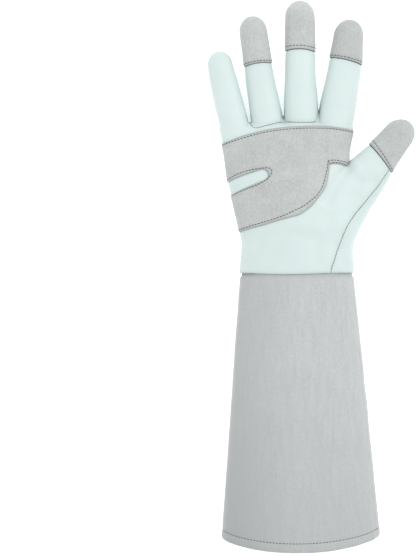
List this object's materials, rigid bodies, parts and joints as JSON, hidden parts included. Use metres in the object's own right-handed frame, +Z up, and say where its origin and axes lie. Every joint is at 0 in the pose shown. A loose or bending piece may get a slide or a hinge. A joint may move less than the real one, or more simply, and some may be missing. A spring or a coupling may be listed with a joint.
{
  "type": "rose pruning gauntlet",
  "caption": "Long leather gardening gauntlet for the right hand, lying palm up: goatskin hand, suede palm patch and fingertips, flared suede forearm cuff.",
  "frame": {"origin": "on the table under the middle of the glove's outline, at the bottom of its box", "axes": "+Y from the cuff's hem to the fingertips, +X across the palm towards the thumb, +Z up, out of the palm"},
  "size_m": [0.1674, 0.4376, 0.06],
  "materials": {
    "goatskin": "smooth white grain leather, softly creased",
    "tip_suede": "matt grey split suede",
    "patch_suede": "matt grey split suede",
    "cuff_suede": "matt grey split suede with a soft nap",
    "thread": "dark grey sewing thread"
  },
  "bodies": {
    "root": {"palm_panel": "goatskin", "ring_front": "goatskin", "middle_front": "goatskin", "back_panel": "goatskin", "little_ring_strip": "goatskin", "ring_middle_strip": "goatskin", "middle_index_strip": "goatskin", "thumb_strip": "goatskin", "thumb_back": "goatskin", "ring_tip": "tip_suede", "middle_tip": "tip_suede", "index_tip": "tip_suede", "thumb_tip": "tip_suede", "palm_patch": "patch_suede", "cuff": "cuff_suede"}
  },
  "joints": []
}
